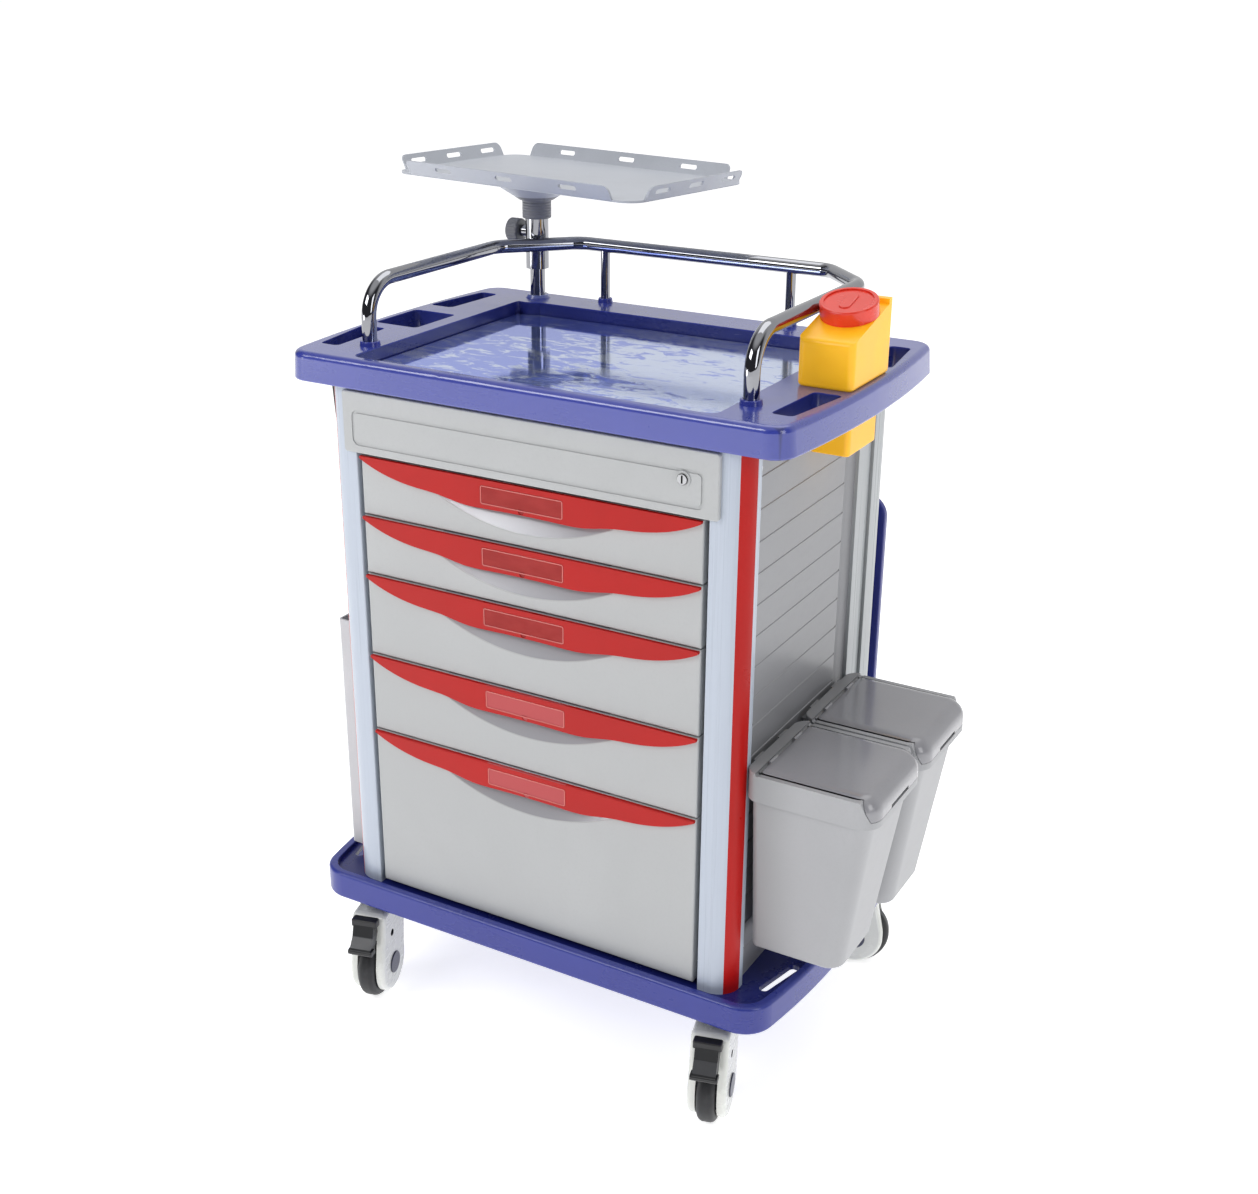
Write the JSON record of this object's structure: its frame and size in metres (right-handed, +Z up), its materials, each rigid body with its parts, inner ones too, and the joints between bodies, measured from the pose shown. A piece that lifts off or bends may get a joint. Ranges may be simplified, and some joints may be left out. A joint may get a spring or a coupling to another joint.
{
  "type": "instrument cart",
  "caption": "Clinic instrument cart with drawers, guard rail, swivel tray, waste bins, sharps container and swivel casters.",
  "frame": {"origin": "on the floor under the middle of the overall box", "axes": "+Z up, drawers open towards -Y, bins on the +X side"},
  "size_m": [0.8818, 0.628, 1.118],
  "materials": {
    "blue_plastic": "moulded, semi-gloss",
    "clear_sheet": "clear soft sheet",
    "column_white": "smooth extrusion",
    "red_plastic": "moulded, semi-gloss",
    "panel_grey": "satin",
    "back_grey": "powder coat",
    "drawer_grey": "satin",
    "tub_grey": "satin",
    "slide_steel": "zinc plated",
    "chrome_tube": "polished",
    "tray_grey": "satin",
    "collar_grey": "satin",
    "knob_grey": "satin",
    "bin_grey": "fine texture",
    "sharps_yellow": "moulded",
    "sharps_red": "moulded",
    "board_blue": "smooth",
    "black_plastic": "satin",
    "caster_cream": "moulded",
    "tyre_rubber": "smooth tread",
    "hub_grey": "satin"
  },
  "bodies": {
    "root": {"base_tray": "blue_plastic", "table_top": "blue_plastic", "clear_mat": "clear_sheet", "columns": "column_white", "column_stripes": "red_plastic", "side_panel_left": "panel_grey", "side_panel_right": "panel_grey", "back_panel": "back_grey", "top_fascia": "drawer_grey", "slide_rails": "slide_steel", "guard_rail": "chrome_tube", "rail_sockets": "blue_plastic", "tray_post": "chrome_tube", "brackets": "slide_steel", "storage_box": "bin_grey", "cable_hook": "black_plastic", "screws": "slide_steel", "caster_mounts": "slide_steel"},
    "lock_plug": {"lock_plug": "chrome_tube"},
    "lock_bar": {"lock_bar": "slide_steel"},
    "tray_lift": {"post_sleeve": "chrome_tube"},
    "tray_knob": {"tray_knob": "knob_grey"},
    "tray": {"tray_collar": "collar_grey", "swivel_tray": "tray_grey"},
    "bin_front": {"bin_front": "bin_grey"},
    "bin_front_lid": {"bin_front_lid": "bin_grey"},
    "bin_rear": {"bin_rear": "bin_grey"},
    "bin_rear_lid": {"bin_rear_lid": "bin_grey"},
    "sharps_box": {"sharps_box": "sharps_yellow"},
    "sharps_lid": {"sharps_lid": "sharps_red"},
    "cpr_board": {"cpr_board": "board_blue"},
    "drawer_1": {"drawer_1_front": "drawer_grey", "drawer_1_pull": "red_plastic", "drawer_1_box": "tub_grey"},
    "drawer_2": {"drawer_2_front": "drawer_grey", "drawer_2_pull": "red_plastic", "drawer_2_box": "tub_grey"},
    "drawer_3": {"drawer_3_front": "drawer_grey", "drawer_3_pull": "red_plastic", "drawer_3_box": "tub_grey"},
    "drawer_4": {"drawer_4_front": "drawer_grey", "drawer_4_pull": "red_plastic", "drawer_4_box": "tub_grey"},
    "drawer_5": {"drawer_5_front": "drawer_grey", "drawer_5_pull": "red_plastic", "drawer_5_box": "tub_grey"},
    "caster_fl": {"caster_fl_fork": "caster_cream"},
    "wheel_fl": {"caster_fl_tyre": "tyre_rubber", "caster_fl_hub": "hub_grey"},
    "pedal_fl": {"caster_fl_pedal": "black_plastic"},
    "caster_fr": {"caster_fr_fork": "caster_cream"},
    "wheel_fr": {"caster_fr_tyre": "tyre_rubber", "caster_fr_hub": "hub_grey"},
    "pedal_fr": {"caster_fr_pedal": "black_plastic"},
    "caster_rl": {"caster_rl_fork": "caster_cream"},
    "wheel_rl": {"caster_rl_tyre": "tyre_rubber", "caster_rl_hub": "hub_grey"},
    "caster_rr": {"caster_rr_fork": "caster_cream"},
    "wheel_rr": {"caster_rr_tyre": "tyre_rubber", "caster_rr_hub": "hub_grey"}
  },
  "joints": [
    {"name": "lock_bar_drop", "type": "slide", "parent": "root", "child": "lock_bar", "axis": [0, 0, -1], "range_m": [0, 0.0065]},
    {"name": "lock_turn", "type": "hinge", "parent": "root", "child": "lock_plug", "pos_m": [0.19945, -0.26092, 0.854], "axis": [0, -1, 0], "range_deg": [0, 90]},
    {"name": "tray_lift", "type": "slide", "parent": "root", "child": "tray_lift", "axis": [0, 0, 1], "range_m": [-0.012, 0.05]},
    {"name": "tray_knob_turn", "type": "hinge", "parent": "tray_lift", "child": "tray_knob", "pos_m": [-0.28205, 0.14708, 1.021], "axis": [-1, 0, 0], "range_deg": [0, 360]},
    {"name": "tray_swivel", "type": "hinge", "parent": "tray_lift", "child": "tray", "pos_m": [-0.25205, 0.14708, 1.066], "axis": [0, 0, 1], "continuous": true},
    {"name": "bin_front_lift", "type": "slide", "parent": "root", "child": "bin_front", "axis": [0, 0, 1], "range_m": [0, 0.08]},
    {"name": "bin_front_lid_hinge", "type": "hinge", "parent": "bin_front", "child": "bin_front_lid", "pos_m": [0.29295, -0.16492, 0.501], "axis": [0, -1, 0], "range_deg": [0, 88]},
    {"name": "bin_rear_lift", "type": "slide", "parent": "root", "child": "bin_rear", "axis": [0, 0, 1], "range_m": [0, 0.08]},
    {"name": "bin_rear_lid_hinge", "type": "hinge", "parent": "bin_rear", "child": "bin_rear_lid", "pos_m": [0.29295, -0.00092, 0.501], "axis": [0, -1, 0], "range_deg": [0, 88]},
    {"name": "sharps_lift", "type": "slide", "parent": "root", "child": "sharps_box", "axis": [0, 0, 1], "range_m": [0, 0.15]},
    {"name": "sharps_lid_turn", "type": "hinge", "parent": "sharps_box", "child": "sharps_lid", "pos_m": [0.29195, -0.03792, 1.0037], "axis": [0, -0.2588, 0.9659], "range_deg": [0, 90]},
    {"name": "cpr_board_lift", "type": "slide", "parent": "root", "child": "cpr_board", "axis": [0, 0, 1], "range_m": [0, 0.2]},
    {"name": "drawer_1_slide", "type": "slide", "parent": "root", "child": "drawer_1", "axis": [0, -1, 0], "range_m": [0, 0.3]},
    {"name": "drawer_2_slide", "type": "slide", "parent": "root", "child": "drawer_2", "axis": [0, -1, 0], "range_m": [0, 0.3]},
    {"name": "drawer_3_slide", "type": "slide", "parent": "root", "child": "drawer_3", "axis": [0, -1, 0], "range_m": [0, 0.3]},
    {"name": "drawer_4_slide", "type": "slide", "parent": "root", "child": "drawer_4", "axis": [0, -1, 0], "range_m": [0, 0.3]},
    {"name": "drawer_5_slide", "type": "slide", "parent": "root", "child": "drawer_5", "axis": [0, -1, 0], "range_m": [0, 0.3]},
    {"name": "caster_fl_swivel", "type": "hinge", "parent": "root", "child": "caster_fl", "pos_m": [-0.28855, -0.22692, 0.14], "axis": [0, 0, 1], "continuous": true},
    {"name": "wheel_fl_spin", "type": "hinge", "parent": "caster_fl", "child": "wheel_fl", "pos_m": [-0.28208, -0.25107, 0.05], "axis": [0.9659, 0.2588, 0], "continuous": true},
    {"name": "pedal_fl_press", "type": "hinge", "parent": "caster_fl", "child": "pedal_fl", "pos_m": [-0.27328, -0.28391, 0.125], "axis": [0.9659, 0.2588, 0], "range_deg": [0, 12]},
    {"name": "caster_fr_swivel", "type": "hinge", "parent": "root", "child": "caster_fr", "pos_m": [0.24445, -0.22692, 0.14], "axis": [0, 0, 1], "continuous": true},
    {"name": "wheel_fr_spin", "type": "hinge", "parent": "caster_fr", "child": "wheel_fr", "pos_m": [0.25092, -0.25107, 0.05], "axis": [0.9659, 0.2588, 0], "continuous": true},
    {"name": "pedal_fr_press", "type": "hinge", "parent": "caster_fr", "child": "pedal_fr", "pos_m": [0.25972, -0.28391, 0.125], "axis": [0.9659, 0.2588, 0], "range_deg": [0, 12]},
    {"name": "caster_rl_swivel", "type": "hinge", "parent": "root", "child": "caster_rl", "pos_m": [-0.28305, 0.15308, 0.14], "axis": [0, 0, 1], "continuous": true},
    {"name": "wheel_rl_spin", "type": "hinge", "parent": "caster_rl", "child": "wheel_rl", "pos_m": [-0.27055, 0.17473, 0.05], "axis": [-0.866, 0.5, 0], "continuous": true},
    {"name": "caster_rr_swivel", "type": "hinge", "parent": "root", "child": "caster_rr", "pos_m": [0.25295, 0.15308, 0.14], "axis": [0, 0, 1], "continuous": true},
    {"name": "wheel_rr_spin", "type": "hinge", "parent": "caster_rr", "child": "wheel_rr", "pos_m": [0.27644, 0.16163, 0.05], "axis": [-0.342, 0.9397, 0], "continuous": true}
  ],
  "couplings": [
    {"joint": "lock_turn", "follows": "lock_bar_drop", "rad_per_m": 241.65}
  ]
}
